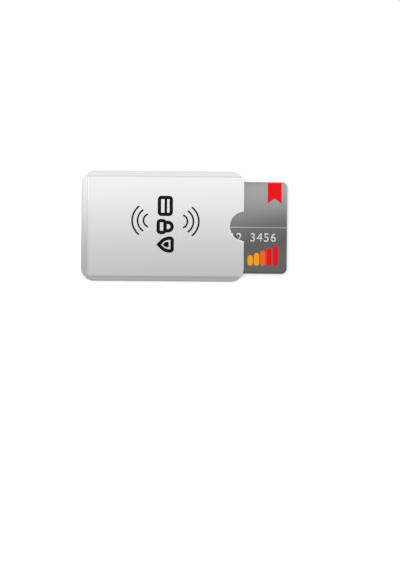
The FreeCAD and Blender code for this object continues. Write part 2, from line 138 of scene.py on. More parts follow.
class CardSizes(bpy.types.PropertyGroup):
    """Sizes of the card's face"""

    corner: length("Card corner radius", 3.18, "Radius of the card's corners")
    chip_corner: length("Chip corner radius", 1.6, "Radius of the corners of the chip's window")
    chip_gap: length("Chip gap", 0.03, "Gap between the chip's plate and its window")
    edge: length("Edge bevel", 0.03, "Bevel round the overlay's edge")
    digit_height: length("Digit height", 5.2, "Height of the raised digits")
    digit_pitch: length("Digit pitch", 4.05, "Step from one digit to the next")
    digit_rise: length("Digit rise", 0.16, "How far the digits stand up")
    number_end: length("Number end", 6.0, "From the last digit to the card's outer end")
    number_drop: length("Number drop", 5.6, "From the card's middle down to the number's middle")
    ink: length("Ink thickness", 0.015, "Thickness of the printed marks")
    bar_width: length("Bar width", 3.1, "Width of one bar")
    bar_corner: length("Bar corner radius", 1.5, "Radius of a bar's corners")
    bar_pitch: length("Bar pitch", 3.7, "Step from one bar to the next")
    bar_end: length("Bar end", 21.5, "From the first bar's middle to the card's outer end")
    bar_foot: length("Bar foot", 4.6, "From the card's lower edge up to the bars")
    bar_lowest: length("Lowest bar", 6.2, "Height of the first bar")
    bar_highest: length("Highest bar", 11.8, "Height of the last bar")
    ribbon_width: length("Ribbon width", 8.2, "Width of the ribbon")
    ribbon_length: length("Ribbon length", 12.2, "Length of the ribbon down its sides")
    ribbon_tail: length("Ribbon tail", 3.0, "Depth of the cut in the ribbon's tail")
    ribbon_end: length("Ribbon end", 7.4, "From the ribbon's middle to the card's outer end")
    ribbon_top: length("Ribbon top", 0.4, "From the card's upper edge down to the ribbon")


class Finishes(bpy.types.PropertyGroup):
    """Colours of the finishes"""

    film: colour("Silver film", "#E7E7E7", "Satin silver of the panel")
    ink: colour("Ink", "#080808", "Black screen ink")
    inline: colour("Inline ink", "#3C3C3B", "Grey screen ink")
    digits: colour("Digit foil", "#D9D9D6", "Silver tipping on the raised digits")
    red: colour("Red ink", "#F20812", "Red of the card's print")
    orange: colour("Orange ink", "#FF641A", "Orange of the card's print")
    amber: colour("Amber ink", "#FDA612", "Amber of the card's print")
    gold: colour("Contact gold", "#D9B36A", "Gold of the chip's pads")


class StageSettings(bpy.types.PropertyGroup):
    """The camera, the light and the floor"""

    distance: length("Camera distance", 1000, "From the camera to the sleeve's front")
    aim_x: length("Aim x", 22.34, "Where the camera stands along the sleeve")
    aim_below: length("Aim below", 34.62, "How far below the sleeve's middle the camera stands")
    lens: amount("Lens", 107.0, "Focal length of the camera", unit="CAMERA")
    roll: amount("Roll", math.radians(0.47), "The camera's turn about its own axis", subtype="ANGLE")
    sky: amount("Sky", 0.45, "Strength of the light from straight above")
    softbox: amount("Softbox", 0.55, "Power of the softbox", unit="POWER")
    softbox_along: length("Softbox length", 1200, "Length of the softbox along the sleeve")
    softbox_across: length("Softbox width", 200, "Width of the softbox across the sleeve")
    softbox_height: length("Softbox height", 300, "Height of the softbox over the floor")
    softbox_beyond: length("Softbox beyond", 113, "How far the softbox hangs beyond the sleeve's middle")
    floor_side: length("Floor side", 40000, "Length of the floor's sides")
    floor_drop: length("Floor drop", 0.02, "How far the floor lies below the sleeve")
    floor_glow: amount("Floor white", 0.25, "White added to the far floor where it is looked at")


def tint(tone):
    """Linear red, green, blue and alpha of a grey's share of light, an sRGB hex colour or a colour."""
    if isinstance(tone, str):
        return linear(tone)
    if isinstance(tone, float):
        return (tone, tone, tone, 1.0)
    return tone[:]


def shade(tone, share):
    """A colour brought to a share of its light."""
    return (tone[0] * share, tone[1] * share, tone[2] * share, 1.0)


def wire(node, inputs):
    """Gives each input of a node a number, a colour, a socket, or another node's first output in use."""
    for socket, source in inputs.items():
        if isinstance(source, bpy.types.Node):
            source = next(output for output in source.outputs if output.enabled)
        if isinstance(source, bpy.types.NodeSocket):
            node.id_data.links.new(source, node.inputs[socket])
        else:
            node.inputs[socket].default_value = source


def set_up(thing, **settings):
    """Gives a thing its settings, and hands it back."""
    for setting, value in settings.items():
        setattr(thing, setting, value)
    return thing


def add_node(tree, kind, inputs, stops=(), **settings):
    """Adds one shader node with its settings, its inputs and, on a ramp, its stops."""
    made = set_up(tree.nodes.new("ShaderNode" + kind), **settings)
    wire(made, inputs)
    if stops:
        elements = made.color_ramp.elements
        elements.remove(elements[0])
        elements[0].position = stops[0][0]
        elements[0].color = tint(stops[0][1])
        for place, tone in stops[1:]:
            elements.new(place).color = tint(tone)
    return made


def new_material(name):
    """A material with nodes, its shader, a function that adds nodes to it, and the place on the object."""
    material = bpy.data.materials.new(name)
    material.use_nodes = True
    tree = material.node_tree
    add = functools.partial(add_node, tree)
    return material, tree.nodes["Principled BSDF"], add, add("TexCoord", {}).outputs["Object"]


# Settings of a node that mixes colours, and of one that multiplies them
MIXED = {"data_type": "RGBA"}
MULTIPLIED = {"data_type": "RGBA", "blend_type": "MULTIPLY"}


def grained(name, tone, grain, spread, roughness, metallic=0.0, specular=0.5, gloss=0.0, relief=0.002):
    """A finish with a fine grain: size and relief in millimetres, spread as a share of the colour."""
    if name in bpy.data.materials:
        return bpy.data.materials[name]
    material, shader, add, place = new_material(name)
    tone = tint(tone)
    sway = 0.05
    noise = add("TexNoise", {"Vector": place, "Scale": 1 / (grain * MM), "Detail": 4.0})
    tones = add("ValToRGB", {"Fac": noise}, stops=[(0.3, shade(tone, 1 - spread)), (0.7, tone)])
    rough = add("MapRange", {"Value": noise, "To Min": roughness - sway, "To Max": roughness + sway})
    bump = add("Bump", {"Height": noise, "Distance": relief * MM})
    wire(shader, {
        "Base Color": tones, "Roughness": rough, "Metallic": metallic, "Specular IOR Level": specular,
        "Coat Weight": gloss, "Coat Roughness": 0.12, "Normal": bump})
    return material


def satin_film(finishes, walls):
    """Metallised polyester film under satin lacquer."""
    # It is a soft silver that takes on the light round it. The bands along the seals and the fold at the
    # closed end carry painted shade, darker than the panel and most at the sleeve's foot, and painted shade
    # also darkens the line of the crease and the cut edges. Real lacquer grain is about 0.05 mm, too fine
    # to show, so it is drawn at 0.9 mm.
    name = "metallised_polyester_satin_lacquered"
    if name in bpy.data.materials:
        return bpy.data.materials[name]
    material, shader, add, place = new_material(name)
    grain_size = 0.9 * MM
    x, y = add("SeparateXYZ", {"Vector": place}).outputs[:2]
    from_upper = add("Math", {0: HALF_WIDTH, 1: y}, operation="SUBTRACT")
    from_lower = add("Math", {0: HALF_WIDTH, 1: y}, operation="ADD")
    from_end = add("Math", {0: x, 1: CLOSED_END}, operation="SUBTRACT")
    from_side = add("Math", {0: from_upper, 1: from_lower}, operation="MINIMUM")
    from_edge = add("Math", {0: from_side, 1: from_end}, operation="MINIMUM")
    # Painted shade along the cut edges, darker within 0.8 mm of the edge
    cut = add("MapRange", {
        "Value": from_edge, "From Min": 0.4 * MM, "From Max": 0.8 * MM, "To Min": 0.85, "To Max": 1.0})
    # Where each band or fold gives way to what lies further in: its start, and how far it takes
    upper_panel, lower_panel, end_fold, end_panel = (
        add("MapRange", {"Value": distance, "From Min": start, "From Max": start + fade})
        for distance, start, fade in (
            (from_upper, walls.upper_seal + 0.3 * MM, 2.0 * MM),
            (from_lower, walls.lower_seal + 0.7 * MM, 0.8 * MM),
            (from_end, walls.end_seal - 0.4 * MM, 0.5 * MM),
            (from_end, walls.end_seal + 1.2 * MM, 0.8 * MM)))
    side_panel = add("Math", {0: upper_panel, 1: lower_panel}, operation="MINIMUM")
    up = add("Math", {0: y, 1: 1 / SLEEVE_WIDTH, 2: 0.5}, operation="MULTIPLY_ADD")
    # Painted shade on the bands along the seals, darker towards the sleeve's foot
    bar = add("ValToRGB", {"Fac": up}, stops=[
        (0.05, 0.79), (0.19, 0.77), (0.3, 0.79), (0.65, 0.918), (0.8, 0.955), (0.92, 0.963), (0.955, 0.89)])
    # Painted shade on the fold at the closed end, darkest towards the sleeve's foot
    fold = add("ValToRGB", {"Fac": up}, stops=[
        (0.19, 0.57), (0.3, 0.63), (0.65, 0.85), (0.8, 0.95), (0.92, 1.0)])
    inward = add("MapRange", {
        "Value": from_end, "From Min": walls.end_seal, "From Max": walls.end_seal + 4.0 * MM})
    # Painted shade in a thin line along the crease, just in from the end's seal
    crest = add("ValToRGB", {"Fac": inward}, stops=[(0.3, 1.0), (0.44, 0.95), (0.6, 0.98), (0.9, 1.0)])
    painted_fold_shade = add("Mix", {0: end_panel, 6: fold, 7: tint(1.0)}, **MIXED)
    painted_fold_and_crease_shade = add("Mix", {0: 1.0, 6: painted_fold_shade, 7: crest}, **MULTIPLIED)
    painted_end_shade = add("Mix", {0: end_fold, 6: bar, 7: painted_fold_and_crease_shade}, **MIXED)
    band = add("Mix", {0: side_panel, 6: bar, 7: painted_end_shade}, **MIXED)
    # All the painted shade of the bands, the fold, the crease and the cut edges, in one
    pressed = add("Mix", {0: 1.0, 6: band, 7: cut}, **MULTIPLIED)
    grain = add("TexNoise", {"Vector": place, "Scale": 1 / grain_size, "Detail": 3.0})
    mottle = add("ValToRGB", {"Fac": grain}, stops=[
        (0.3, shade(finishes.film, 0.975)), (0.7, finishes.film)])
    toned = add("Mix", {0: 1.0, 6: pressed, 7: mottle}, **MULTIPLIED)
    rough = add("MapRange", {"Value": grain, "To Min": 0.26, "To Max": 0.32})
    bump = add("Bump", {"Height": grain, "Distance": 0.004 * MM, "Strength": 0.3})
    wire(shader, {"Base Color": toned, "Roughness": rough, "Metallic": 1.0, "Normal": bump})
    return material


def laminated_print():
    """Offset-printed card face under a clear gloss overlay."""
    # The grey print fades aslant from light at the top to dark at the foot, and a painted sheen lightens
    # the outer upper corner. Painted shade makes a thin dark line along the foot and the upper edge. The
    # print has one thin pale line across the middle over a darker one. The overlay gives it a soft gloss,
    # with an orange peel about 0.7 mm across.
    material, shader, add, place = new_material("printed_card_gloss_laminated")
    slant = 0.2
    peel_size = 0.7 * MM
    x, y = add("SeparateXYZ", {"Vector": place}).outputs[:2]
    up = add("Math", {0: y, 1: 1 / CARD_WIDTH, 2: -CARD_LOW.y / CARD_WIDTH}, operation="MULTIPLY_ADD")
    aslant = add("Math", {0: x, 1: -slant / CARD_WIDTH, 2: up}, operation="MULTIPLY_ADD")
    fade = add("Math", {0: aslant, 1: slant * MOUTH / CARD_WIDTH}, operation="ADD")
    tones = add("ValToRGB", {"Fac": fade}, stops=[
        (0.09, "#5D5C5B"), (0.3, "#585756"), (0.47, "#696867"), (0.51, "#717070"), (0.56, "#7A7979"),
        (0.62, "#878686"), (0.71, "#949391"), (0.8, "#9C9B99"), (0.9, "#9F9E9C"), (0.97, "#989795")])
    # Painted shade in a thin dark line along the foot and the upper edge, and the printed pale line across
    # the middle over its darker line
    lines = add("ValToRGB", {"Fac": up}, stops=[
        (0.0, 0.6), (0.012, 0.65), (0.022, 1.0), (0.486, 1.0), (0.489, 0.74), (0.497, 0.74), (0.4985, 2.9),
        (0.507, 2.9), (0.5085, 0.97), (0.98, 1.0), (0.988, 0.9), (1.0, 0.85)])
    printed = add("Mix", {0: 1.0, 6: tones, 7: lines}, **MULTIPLIED)
    # A painted sheen that lightens the print towards the outer upper corner
    outward = add("MapRange", {"Value": x, "From Min": MOUTH, "From Max": CARD_HIGH.x})
    upward = add("MapRange", {"Value": up, "From Min": 0.55, "From Max": 0.8})
    cornerward = add("Math", {0: outward, 1: upward}, operation="MULTIPLY")
    painted_sheen = add("MapRange", {"Value": cornerward, "To Min": 1.0, "To Max": 1.16})
    print_with_painted_sheen = add("Mix", {0: 1.0, 6: printed, 7: painted_sheen}, **MULTIPLIED)
    peel = add("TexNoise", {"Vector": place, "Scale": 1 / peel_size, "Detail": 3.0})
    rough = add("MapRange", {"Value": peel, "To Min": 0.26, "To Max": 0.36})
    bump = add("Bump", {"Height": peel, "Distance": 0.002 * MM})
    wire(shader, {"Base Color": print_with_painted_sheen, "Roughness": rough, "IOR": 1.5, "Normal": bump})
    return material


def magnetic_coating():
    """Iron-oxide coating, rolled on in a band."""
    # Almost black with a brown cast, and faint streaks from the coating roller, about 0.4 mm apart
    material, shader, add, place = new_material("iron_oxide_coating_rolled")
    streak_gap = 0.4 * MM
    stretched = add("Mapping", {"Vector": place, "Scale": (0.02, 1.0, 1.0)})
    streaks = add("TexNoise", {"Vector": stretched, "Scale": 1 / streak_gap, "Detail": 2.0})
    tones = add("ValToRGB", {"Fac": streaks}, stops=[(0.35, "#15110F"), (0.65, "#241E1B")])
    rough = add("MapRange", {"Value": streaks, "To Min": 0.32, "To Max": 0.46})
    bump = add("Bump", {"Height": streaks, "Distance": 0.002 * MM})
    wire(shader, {"Base Color": tones, "Roughness": rough, "Normal": bump})
    return material


def writable_coating():
    """Matt coating that takes pen ink, with fine ruled lines."""
    # Off-white and chalky, with slanted grey lines 1.2 mm apart. The chalk's grain is about 0.05 mm, too
    # fine to show, so it is drawn at 0.4 mm. A wave's scale of 1 gives 20 / tau lines a metre.
    material, shader, add, place = new_material("matt_writing_coating_printed")
    line_gap = 1.2 * MM
    chalk_size = 0.4 * MM
    slanted = add("Mapping", {"Vector": place, "Rotation": (0, 0, math.radians(60))})
    lines = add("TexWave", {"Vector": slanted, "Scale": math.tau / 20 / line_gap})
    tones = add("ValToRGB", {"Fac": lines.outputs["Fac"]}, stops=[(0.08, "#B9BCBE"), (0.2, "#ECEBE6")])
    chalk = add("TexNoise", {"Vector": place, "Scale": 1 / chalk_size, "Detail": 3.0})
    rough = add("MapRange", {"Value": chalk, "To Min": 0.72, "To Max": 0.88})
    bump = add("Bump", {"Height": chalk, "Distance": 0.006 * MM})
    wire(shader, {"Base Color": tones, "Roughness": rough, "Normal": bump})
    return material


def begin(name, finishes):
    """Gives the piece just added its name and finishes, and goes into edit mode, all selected."""
    piece = bpy.context.object
    piece.name = name
    piece.data.name = name
    for finish in finishes:
        piece.data.materials.append(finish)
    bpy.ops.object.mode_set(mode="EDIT")
    return piece


def start_plate(name, along, across, middle, level, finishes=()):
    """Adds a flat rectangle at its size and place, and leaves it in edit mode."""
    bpy.ops.mesh.primitive_plane_add(size=1)
    plate = begin(name, finishes)
    bpy.ops.transform.resize(value=(along, across, 1))
    bpy.ops.transform.translate(value=(middle[0], middle[1], level))
    return plate


def select_all():
    """Selects all that is in edit mode."""
    bpy.ops.mesh.select_all(action="SELECT")


def select(piece, kind, wanted):
    """Selects, in edit mode, only the points, edges or faces of a piece that pass a test."""
    bpy.ops.mesh.select_mode(type=kind)
    bpy.ops.mesh.select_all(action="DESELECT")
    shape = bmesh.from_edit_mesh(piece.data)
    for item in {"VERT": shape.verts, "EDGE": shape.edges, "FACE": shape.faces}[kind]:
        if wanted(item):
            item.select_set(True)
    shape.select_flush_mode()
    bmesh.update_edit_mesh(piece.data)


def round_corners(piece, radius, wanted=lambda point: True, segments=16):
    """Rounds the corners of a flat plate that pass a test."""
    select(piece, "VERT", wanted)
    bpy.ops.mesh.bevel(offset=radius, segments=segments, affect="VERTICES")


def score(place, normal):
    """Cuts all that is in edit mode along a plane, and keeps both sides."""
    select_all()
    bpy.ops.mesh.bisect(plane_co=place, plane_no=normal)


def thicken(piece, thickness):
    """Gives a flat face in edit mode a thickness upwards, closes it and leaves edit mode."""
    select_all()
    bpy.ops.mesh.extrude_region_move(TRANSFORM_OT_translate={"value": (0, 0, thickness)})
    select_all()
    bpy.ops.mesh.remove_doubles(threshold=WELD)
    bpy.ops.mesh.normals_make_consistent(inside=False)
    leave_edit(piece)


def leave_edit(piece):
    """Back to object mode with only this piece selected."""
    bpy.ops.object.mode_set(mode="OBJECT")
    bpy.ops.object.select_all(action="DESELECT")
    piece.select_set(True)
    bpy.context.view_layer.objects.active = piece


def apply_modifier(piece, kind, **settings):
    """Adds a modifier with its settings, and applies it."""
    leave_edit(piece)
    modifier = set_up(piece.modifiers.new(kind.lower(), kind), **settings)
    bpy.ops.object.modifier_apply(modifier=modifier.name)


def cut_away(piece, cutter):
    """Cuts one solid out of another, and removes the cutter."""
    apply_modifier(piece, "BOOLEAN", operation="DIFFERENCE", object=cutter, solver="EXACT")
    bpy.data.objects.remove(cutter)


def copy_of(piece, name):
    """A copy of a piece with its own mesh."""
    made = piece.copy()
    made.data = piece.data.copy()
    made.name = name
    made.data.name = name
    bpy.context.scene.collection.objects.link(made)
    return made


def joined(pieces, name):
    """Several pieces as one."""
    bpy.ops.object.select_all(action="DESELECT")
    for piece in pieces:
        piece.select_set(True)
    bpy.context.view_layer.objects.active = pieces[0]
    bpy.ops.object.join()
    pieces[0].name = name
    pieces[0].data.name = name
    return pieces[0]


def settle(piece, body, replaces=None, smooth=None):
    """Lets a finished piece ride on its body, and hides the node that it stands for."""
    leave_edit(piece)
    if smooth is not None:
        bpy.ops.object.shade_smooth_by_angle(angle=math.radians(smooth))
    if replaces:
        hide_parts(replaces)
    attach(piece, body)


def coat(node, material):
    """Gives a carried-over CAD node its finish."""
    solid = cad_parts[node]
    solid.data.materials.clear()
    solid.data.materials.append(material)


def spaced(first, last, count):
    """Evenly spaced places, both ends included."""
    return [first + (last - first) * step / (count - 1) for step in range(count)]


def die_cut_blank(walls):
    """One flat blank of a wall, 1 mm thick, cut to its outline and scored along each line of the press."""
    corner_steps, notch_steps, shoulder_scores, panel_columns, panel_rows = 20, 40, 15, 16, 11
    flat = 0.9
    cutter_tall = 4 * MM
    blank = start_plate("wall_blank", SLEEVE_LENGTH, SLEEVE_WIDTH, (CLOSED_END + SLEEVE_LENGTH / 2, 0), 0)
    round_corners(blank, walls.closed_corner, lambda point: point.co.x < 0, corner_steps)
    round_corners(blank, walls.mouth_corner, lambda point: point.co.x > MOUTH - NEAR, corner_steps)
    thicken(blank, MM)
    radius = (walls.notch_width ** 2 / 4 + walls.notch_depth ** 2) / (2 * walls.notch_depth)
    bpy.ops.mesh.primitive_cylinder_add(vertices=notch_steps, radius=radius, depth=cutter_tall,
                                        location=(MOUTH - walls.notch_depth + radius, 0, 0))
    cut_away(blank, bpy.context.object)
    bpy.ops.object.mode_set(mode="EDIT")
    select(blank, "FACE", lambda face: abs(face.normal.z) > flat)
    bpy.ops.mesh.inset(thickness=walls.rim_width)
    bpy.ops.mesh.inset(thickness=walls.rim_width / 3)
    guard = walls.shoulder_run / 12
    for inset in spaced(-guard, walls.shoulder_run + guard, shoulder_scores):
        score((CLOSED_END + walls.end_seal + inset, 0, 0), (1, 0, 0))
        score((0, HALF_WIDTH - walls.upper_seal - inset, 0), (0, 1, 0))
        score((0, walls.lower_seal + inset - HALF_WIDTH, 0), (0, 1, 0))
    panel = walls.end_seal + walls.shoulder_run + guard
    for along in spaced(CLOSED_END + panel, MOUTH, panel_columns)[1:-1]:
        score((along, 0, 0), (1, 0, 0))
    for across in spaced(panel - HALF_WIDTH, HALF_WIDTH - panel, panel_rows)[1:-1]:
        score((0, across, 0), (0, 1, 0))
    leave_edit(blank)
    return blank


def climb(walls, inset):
    """The share of the pocket's rise reached at a distance in from a seal, eased at both ends."""
    share = min(max(inset / walls.shoulder_run, 0.0), 1.0)
    return share * share * (3 - 2 * share)


def off_side(walls, y):
    """The distance in from the nearer side's seal."""
    return min(HALF_WIDTH - y - walls.upper_seal, HALF_WIDTH + y - walls.lower_seal)


def off_end(walls, x):
    """The distance in from the closed end's seal."""
    return x - CLOSED_END - walls.end_seal


def crease_bow(walls, inset):
    """The bow of a pressed line across a shoulder, at a distance in from a seal."""
    return 4 * climb(walls, inset) * (1 - climb(walls, inset))


def front_height(walls, x, y):
    """How far the front wall is raised at a place: over the pocket, less where the side creases run out."""
    rise = POCKET_RISE * climb(walls, min(off_side(walls, y), off_end(walls, x)))
    run_out = 1 - climb(walls, off_end(walls, x))
    return rise - walls.crease_press * crease_bow(walls, off_side(walls, y)) * run_out


def back_height(walls, x, y):
    """How far the seal's line is pressed into the back wall at a place."""
    return walls.back_press * crease_bow(walls, min(off_side(walls, y), off_end(walls, x)))


def pressed_layer(blank, name, low, high, height):
    """A layer of a wall: the blank with its two faces at the layer's levels, raised by the press."""
    layer = copy_of(blank, name)
    for point in layer.data.vertices:
        level = high if point.co.z > MM / 2 else low
        point.co.z = level + height(point.co.x, point.co.y)
    return layer


def roll_rim(layer, outward, drop):
    """Rolls the outer face's die-cut edge over."""
    steep = 0.3
    leave_edit(layer)
    bpy.ops.object.mode_set(mode="EDIT")

    def on_outer_edge(point):
        upright = any(abs(face.normal.z) < steep for face in point.link_faces)
        outer = any(face.normal.z * outward > steep for face in point.link_faces)
        return upright and outer

    select(layer, "VERT", on_outer_edge)
    bpy.ops.transform.translate(value=(0, 0, -drop * outward))
    leave_edit(layer)


def wall_finish(layer, finishes, walls):
    """The finish of a wall's layer, the same on both walls."""
    if layer == "film":
        return satin_film(finishes, walls)
    if layer == "foil":
        # Bright rolled foil, seen only as a thin line at the cut edge
        return grained("aluminium_foil_rolled", "#D2D3D5", grain=0.5, spread=0.08, roughness=0.22,
                       metallic=1.0)
    # Smooth clay-coated paper, with a faint cloudiness from its fibres about 1.5 mm across
    return grained("clay_coated_paper_calendered", "#E9E8E4", grain=1.5, spread=0.06, roughness=0.7,
                   relief=0.005)


def press_wall(context, side, height, outward):
    """Presses a wall's three layers: its side, its height by place, and which way its outer face looks."""
    walls = context.scene.sleeve_walls
    blank = die_cut_blank(walls)
    for layer, slot in SLOTS.items():
        node = side + "_" + layer
        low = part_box(node)[0].z
        piece = pressed_layer(blank, node + "_pressed", low, low + THICKNESS[layer],
                              lambda x, y: height(walls, x, y))
        if layer == "film":
            roll_rim(piece, outward, walls.rim_drop)
        piece.data.materials.append(wall_finish(layer, context.scene.sleeve_finishes, walls))
        settle(piece, "sleeve", node, smooth=40)
    bpy.data.objects.remove(blank)


class FrontWall(bpy.types.Operator):
    """Presses the three layers of the front wall over the pocket"""

    bl_idname = "card_sleeve.front_wall"
    bl_label = "Front wall"

    def execute(self, context):
        press_wall(context, "front", front_height, 1)
        return {"FINISHED"}


class BackWall(bpy.types.Operator):
    """Presses the seal's line into the three layers of the back wall"""

    bl_idname = "card_sleeve.back_wall"
    bl_label = "Back wall"

    def execute(self, context):
        press_wall(context, "back", back_height, -1)
        return {"FINISHED"}


class EdgeSeals(bpy.types.Operator):
    """Gives the three fused seals their finish"""

    bl_idname = "card_sleeve.edge_seals"
    bl_label = "Edge seals"

    def execute(self, context):
        # Fused polyethylene: milky and waxy, seen only as a thin line at the cut edge
        milky = grained("polyethylene_heat_fused", "#DAD9D2", grain=0.8, spread=0.08, roughness=0.5,
                        relief=0.008)
        for node in ("upper_edge_seal", "lower_edge_seal", "closed_end_seal"):
            coat(node, milky)
        return {"FINISHED"}


# How far the foot of all print is sunk in, and its level on the panel
INK_SINK = 0.004 * MM
INK_FOOT = PANEL_TOP - INK_SINK

# Radius and half angle of each wave arc
WAVE_ARCS = ((4.0 * MM, math.radians(70)), (7.5 * MM, math.radians(56.5)), (10.7 * MM, math.radians(52.3)))


def ink_finishes(finishes):
    """The black and the grey screen inks."""
    # Screen ink lies proud and matt, with pinholes too fine to show, drawn as a cloudiness 0.6 mm across
    black = grained("screen_ink_black", finishes.ink, grain=0.6, spread=0.25, roughness=0.6, specular=0.03,
                    relief=0.004)
    pale = grained("screen_ink_grey", finishes.inline, grain=0.6, spread=0.1, roughness=0.6, specular=0.2,
                   relief=0.004)
    return black, pale


def print_on(figures, name, thickness):
    """Makes flat figures on the panel one piece of print with the ink's thickness."""
    piece = joined(figures, name)
    apply_modifier(piece, "SOLIDIFY", thickness=thickness, offset=1.0)
    settle(piece, "sleeve")


def start_disc(name, radius, inks, steps):
    """Adds a flat disc of ink round the origin, and leaves it in edit mode."""
    bpy.ops.mesh.primitive_circle_add(vertices=steps, radius=radius, fill_type="NGON")
    return begin(name, inks)


def wave_arc(middle, radius, stroke, half_angle, facing, inks):
    """One arc of the wave figure, facing along the sleeve."""
    arc = start_disc("wave_arc", radius + stroke / 2, inks, steps=160)
    bpy.ops.mesh.inset(thickness=stroke)
    bpy.ops.mesh.delete(type="FACE")
    turn = half_angle - math.pi / 2
    for side in (1, -1):
        select_all()
        bpy.ops.mesh.bisect(plane_co=(0, 0, 0), clear_inner=True,
                            plane_no=(facing * math.cos(turn), side * math.sin(turn), 0))
    select_all()
    bpy.ops.transform.translate(value=(middle[0], middle[1], INK_FOOT))
    leave_edit(arc)
    return arc


class WaveArcs(bpy.types.Operator):
    """Prints three wave arcs on each side of the row of pictograms"""

    bl_idname = "card_sleeve.wave_arcs"
    bl_label = "Wave arcs"

    def execute(self, context):
        sizes = context.scene.sleeve_print
        black = ink_finishes(context.scene.sleeve_finishes)[0]
        left = (sizes.row_x - sizes.wave_left, sizes.wave_y + sizes.wave_lift)
        right = (sizes.row_x + sizes.wave_right, sizes.wave_y)
        arcs = [wave_arc(middle, radius, sizes.wave_stroke, half_angle, facing, [black])
                for facing, middle in ((-1, left), (1, right)) for radius, half_angle in WAVE_ARCS]
        print_on(arcs, "wave_arcs", sizes.ink)
        return {"FINISHED"}


def inline_ring(piece, sizes):
    """Turns a flat figure in edit mode into a bold line with a thin pale line along its middle."""
    flank = (sizes.icon_stroke - sizes.icon_inline) / 2
    select_all()
    bpy.ops.mesh.inset(thickness=flank)
    piece.active_material_index = 1
    bpy.ops.object.material_slot_assign()
    bpy.ops.mesh.inset(thickness=sizes.icon_inline)
    piece.active_material_index = 0
    bpy.ops.object.material_slot_assign()
    bpy.ops.mesh.inset(thickness=flank)
    bpy.ops.mesh.delete(type="FACE")


def card_icon(sizes, middle, inks):
    """A card: a rounded frame with a bar across it."""
    tall, wide, bar_tall, bar_up = 9.0 * MM, 12.0 * MM, 1.5 * MM, 0.3 * MM
    outline = start_plate("card_icon", tall, wide, middle, INK_FOOT, inks)
    round_corners(outline, sizes.icon_corner, segments=8)
    inline_ring(outline, sizes)
    leave_edit(outline)
    bar = start_plate("card_icon_bar", bar_tall, wide - 2 * sizes.icon_stroke,
                      (middle[0] + bar_up, middle[1]), INK_FOOT, inks)
    leave_edit(bar)
    return [outline, bar]


def lock_icon(sizes, middle, inks):
    """A padlock: a rounded body with a slot for the key, under a round shackle."""
    tall, body_tall, body_wide, hoop, lap = 10.2 * MM, 6.0 * MM, 9.0 * MM, 3.5 * MM, 0.6 * MM
    base = middle[0] - tall / 2
    hoop_middle = middle[0] + tall / 2 - hoop
    shackle = start_disc("lock_icon_shackle", hoop, inks, steps=64)
    inline_ring(shackle, sizes)
    select_all()
    bpy.ops.mesh.bisect(plane_co=(0, 0, 0), plane_no=(1, 0, 0), clear_inner=True)
    select(shackle, "EDGE", lambda edge: all(abs(point.co.x) < NEAR for point in edge.verts))
    bpy.ops.mesh.extrude_region_move(TRANSFORM_OT_translate={
        "value": (base + body_tall - lap - hoop_middle, 0, 0)})
    select_all()
    bpy.ops.transform.translate(value=(hoop_middle, middle[1], PANEL_TOP - INK_SINK / 2))
    leave_edit(shackle)
    body = start_plate("lock_icon", body_tall, body_wide, (base + body_tall / 2, middle[1]), INK_FOOT, inks)
    round_corners(body, sizes.icon_corner, segments=8)
    inline_ring(body, sizes)
    leave_edit(body)
    return [body, shackle]


def shield_figure(name, tall, wide, middle, corner, flank, inks):
    """A flat shield in edit mode: flat at the top, with flanks that draw in to a point."""
    figure = start_plate(name, tall, wide, middle, INK_FOOT, inks)
    foot = middle[0] - tall / 2
    top = middle[0] + tall / 2
    waist = middle[0] - 0.05 * tall
    score((waist, 0, 0), (1, 0, 0))
    select(figure, "VERT", lambda point: point.co.x < foot + NEAR)
    bpy.ops.mesh.merge(type="CENTER")
    select_all()
    bpy.ops.mesh.dissolve_limited(angle_limit=math.radians(1))
    round_corners(figure, flank, lambda point: abs(point.co.x - waist) < NEAR, segments=10)
    round_corners(figure, corner, lambda point: point.co.x > top - NEAR, segments=8)
    return figure


def shield_icon(sizes, middle, inks):
    """A shield: a bold outline round a small solid shield."""
    tall, wide, corner, flank = 10.4 * MM, 9.6 * MM, 2.2 * MM, 3.0 * MM
    core_tall, core_wide, core_corner, core_flank = 3.6 * MM, 3.2 * MM, 0.5 * MM, 0.8 * MM
    core_middle = (middle[0] + 0.4 * MM, middle[1])
    outline = shield_figure("shield_icon", tall, wide, middle, corner, flank, inks)
    inline_ring(outline, sizes)
    leave_edit(outline)
    core = shield_figure("shield_icon_core", core_tall, core_wide, core_middle, core_corner, core_flank,
                         inks)
    leave_edit(core)
    return [outline, core]


class Pictograms(bpy.types.Operator):
    """Prints a row of bold pictograms that say card, locked and safe"""

    bl_idname = "card_sleeve.pictograms"
    bl_label = "Pictograms"

    def execute(self, context):
        sizes = context.scene.sleeve_print
        inks = ink_finishes(context.scene.sleeve_finishes)
        made = []
        for icon, off_middle in ((card_icon, 10.6 * MM), (lock_icon, -1.6 * MM), (shield_icon, -12.2 * MM)):
            made += icon(sizes, (sizes.row_x, sizes.row_y + off_middle), inks)
        print_on(made, "pictograms", sizes.ink)
        return {"FINISHED"}


